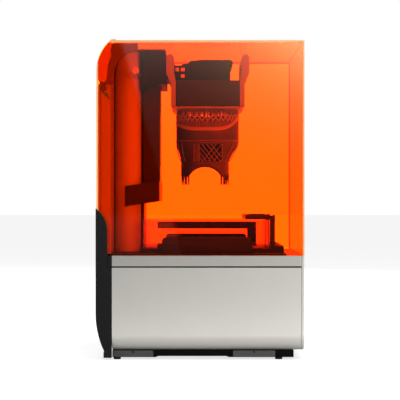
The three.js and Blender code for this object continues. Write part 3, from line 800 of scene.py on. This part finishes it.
def add_groove_seals(materials):
    """The black seal that fills the shadow gap between each side panel and its rim."""
    low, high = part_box("side_panel_left")
    floor = high.z + 0.15 * MM
    for side, where in ((-1, "left"), (1, "right")):
        x = sorted((side * (abs(low.x) - 2.75 * MM), side * (abs(low.x) - 0.9 * MM)))
        block(
            "groove_seal_" + where, (x[0], low.y, floor), (x[1], high.y, floor + 2.3 * MM),
            materials["rubber"], "base", 0.2 * MM,
        )


def add_vent_filter(materials):
    """The dark dust filter behind the rear cover's slots."""
    block(
        "vent_filter", (-155 * MM, 176.15 * MM, 186 * MM), (-79 * MM, 176.8 * MM, 224 * MM),
        materials["rubber"], "base", 0.1 * MM,
    )


def add_arm_plates(materials):
    """A cheek plate on each side of the platform's arm, with three square studs."""
    _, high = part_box("platform_cap")
    inner = high.x + 0.3 * MM
    outer = high.x + 2.0 * MM
    raised = high.x + 3.4 * MM
    upper, lower = 512.8 * MM, 500.8 * MM
    back, front = 41.6 * MM, 31.4 * MM
    half_y, half_z = 3.5 * MM, 3.3 * MM
    studs = [(back, upper), (front, upper), (front, lower)]
    for side, where in ((-1, "left"), (1, "right")):
        x = sorted((side * inner, side * outer))
        block(
            "arm_plate_" + where, (x[0], 19 * MM, 494 * MM), (x[1], 45.5 * MM, 521 * MM),
            materials["arm"], "carriage",
        )
        x = sorted((side * outer, side * raised))
        for i, (y, z) in enumerate(studs):
            block(
                f"arm_stud_{where}_{i + 1}", (x[0], y - half_y, z - half_z),
                (x[1], y + half_y, z + half_z), materials["brass"], "carriage",
            )


def plate_piece(name, points, x, material, body):
    """A flat plate: its outline in (Y, Z), and the two X faces that it lies between."""
    made = bmesh.new()
    near, far = [[made.verts.new((place, y, z)) for y, z in points] for place in x]
    made.faces.new(near)
    made.faces.new(far[::-1])
    for i in range(len(points)):
        made.faces.new((near[i - 1], near[i], far[i], far[i - 1]))
    piece = new_piece(name, finished_mesh(name, made), material, body)
    rounding = piece.modifiers.new("rounding", "BEVEL")
    rounding.width = 0.4 * MM
    rounding.segments = 2
    rounding.limit_method = "ANGLE"
    level_shading(piece)


def arc(centre, radius, start, end, count):
    """Points on an arc in (Y, Z); the angles are in degrees above +Y."""
    made = []
    for i in range(count + 1):
        angle = math.radians(start + (end - start) * i / count)
        made.append((centre[0] + radius * math.cos(angle), centre[1] + radius * math.sin(angle)))
    return made


def add_corner_webs(materials):
    """A web in each rear top corner of the cover, between its side and the column's round top. Its dull
    dark grey is painted shade for that shadowed corner. A thin plate of the same grey below the hinge
    arm's foot is a painted shadow.
    """
    top = 546.8 * MM
    hinge = (HINGE_Y, HINGE_Z)
    rear = 153.0 * MM
    bend = arc((107 * MM, 492 * MM), 41 * MM, 0, 90, 16)
    foot = arc(hinge, 60 * MM, -24, -2, 8)
    # A thin arc below the hinge arm's foot, where a soft shadow falls: painted shadow.
    shadow_arc = arc(hinge, 66 * MM, -34, -8, 12) + arc(hinge, 59 * MM, -8, -34, 12)
    brace = [(158.4 * MM, 511 * MM), (rear + 1.0 * MM, 522 * MM)]
    outline = [(148 * MM, foot[0][1])] + foot + brace + [(rear, top), (bend[-1][0], top)] + bend[::-1]
    low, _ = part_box("hinge_arm_left")
    for side, where in ((-1, "left"), (1, "right")):
        x = sorted((side * (abs(low.x) - 0.4 * MM), side * (abs(low.x) - 2.4 * MM)))
        plate_piece("corner_web_" + where, outline, x, materials["web"], "cover")
        x = sorted((side * (abs(low.x) - 2.7 * MM), side * (abs(low.x) - 4.7 * MM)))
        plate_piece("corner_guard_" + where, shadow_arc, x, materials["web"], "cover")


def add_top_liner(materials):
    """The dark strip that stiffens the cover's top above the column."""
    low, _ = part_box("cover_top")
    under = low.z - 0.2 * MM
    block(
        "top_liner", (-93 * MM, 124 * MM, under - 1.4 * MM), (93 * MM, 152 * MM, under),
        materials["arm"], "cover", 0.3 * MM,
    )


def dress_frame(materials):
    """Gives every CAD node its material, and a finer copy where its edges are to be rounded."""
    keep_plain = {"tank_film", "mask_display"}
    for node in NODES:
        if node == "printed_part":
            continue
        slot = SLOT_OF[node]
        material = materials[MATERIAL_FOR.get(node, slot)]
        if node in keep_plain or slot == "acrylic":
            data = NODES[node].data
            data.materials.clear()
            data.materials.append(material)
            continue
        refined(node, material)


def main():
    """Builds the stage first and the lights last, because each light names the pieces it reaches."""
    scene = bpy.context.scene
    scene.view_settings.view_transform = "Standard"
    scene.cycles.transparent_max_bounces = 32
    add_camera()
    add_world()
    add_floor()
    add_softbox()
    area_light("overhead")
    materials = make_materials()
    dress_frame(materials)
    add_print(materials)
    add_groove_seals(materials)
    add_vent_filter(materials)
    add_arm_plates(materials)
    add_corner_webs(materials)
    add_top_liner(materials)
    add_key_lights()


main()
